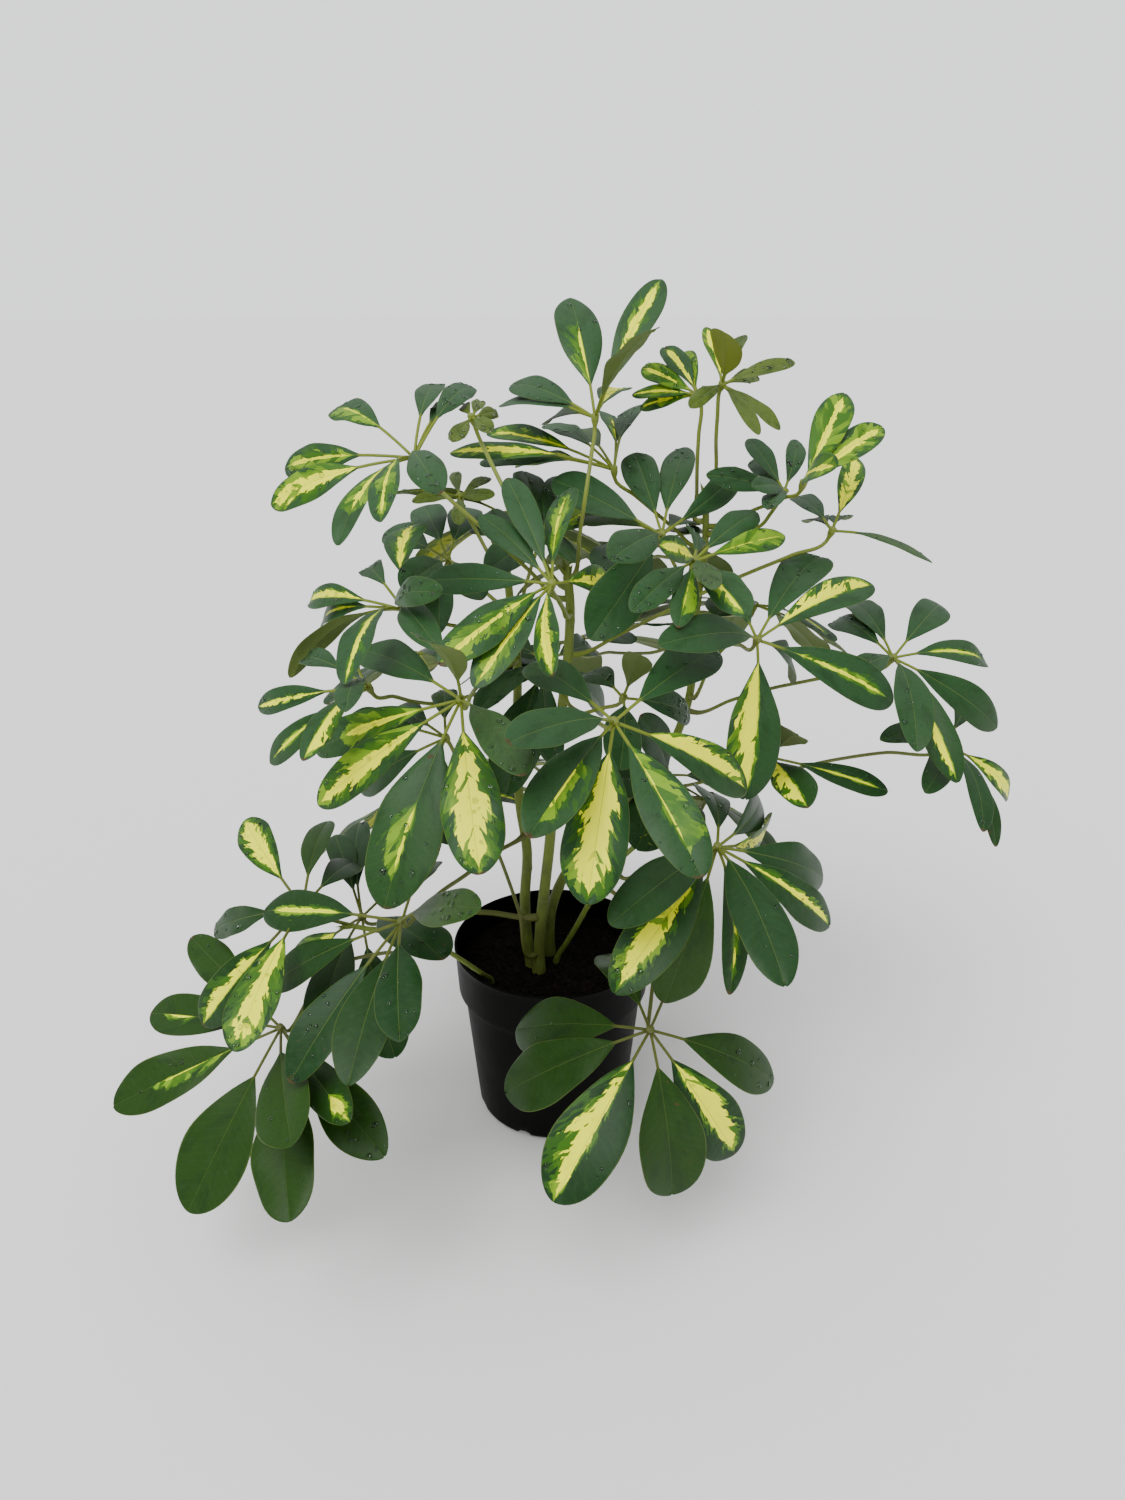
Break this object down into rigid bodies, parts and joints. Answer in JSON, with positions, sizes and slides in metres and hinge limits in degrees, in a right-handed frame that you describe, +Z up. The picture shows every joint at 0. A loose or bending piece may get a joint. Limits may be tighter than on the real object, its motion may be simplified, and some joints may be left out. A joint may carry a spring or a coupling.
{
  "type": "potted dwarf umbrella tree",
  "caption": "Variegated dwarf umbrella tree: umbrella-like compound leaves on several upright stems, standing in soil in a round black nursery pot.",
  "frame": {"origin": "middle of the pot's underside", "axes": "+Z up, -Y towards the side that the plant is looked at from"},
  "size_m": [0.7267, 0.5677, 0.6867],
  "materials": {
    "black_plastic": "satin",
    "potting_soil": "matte",
    "bark": "matte",
    "green_stem": "matte",
    "leaf": "satin",
    "young_leaf": "satin"
  },
  "bodies": {
    "root": {"pot": "black_plastic", "soil": "potting_soil", "stem_main": "bark", "stem_left": "bark", "stem_right": "bark", "shoot_right": "green_stem", "shoot_low_left": "green_stem", "leaf_front_gold": "leaf", "leaf_left_gold": "leaf", "leaf_centre_high": "leaf", "leaf_bottom_right": "leaf", "leaf_right_low": "leaf", "leaf_left_low": "leaf", "leaf_left_high": "leaf", "leaf_top_centre": "leaf", "leaf_right_mid": "leaf", "leaf_right_edge": "leaf", "leaf_bottom_left": "leaf", "leaf_left_outer": "leaf", "leaf_left_inner": "leaf", "leaf_left_back": "leaf", "leaf_far_left": "leaf", "leaf_left_mid": "leaf", "leaf_left_rear": "leaf", "leaf_centre_right": "leaf", "leaf_centre_right_front": "leaf", "leaf_centre_back": "leaf", "leaf_front_dark": "leaf", "leaf_middle": "leaf", "leaf_top_middle": "leaf", "leaf_middle_low": "leaf", "leaf_right_stub": "leaf", "leaf_far_right": "leaf", "leaf_right_top_back": "leaf", "leaf_right_high": "young_leaf", "leaf_right_young": "young_leaf", "leaf_top_young": "young_leaf", "leaf_top_tip": "young_leaf", "leaf_left_bud": "young_leaf", "leaf_left_young": "young_leaf", "leaf_back_left_top": "leaf", "leaf_back_top": "leaf", "leaf_back_right": "leaf", "leaf_back_left": "leaf", "leaf_back_middle": "leaf", "leaf_back_low_left": "leaf", "leaf_back_low": "leaf", "leaf_back_low_right": "leaf"}
  },
  "joints": []
}
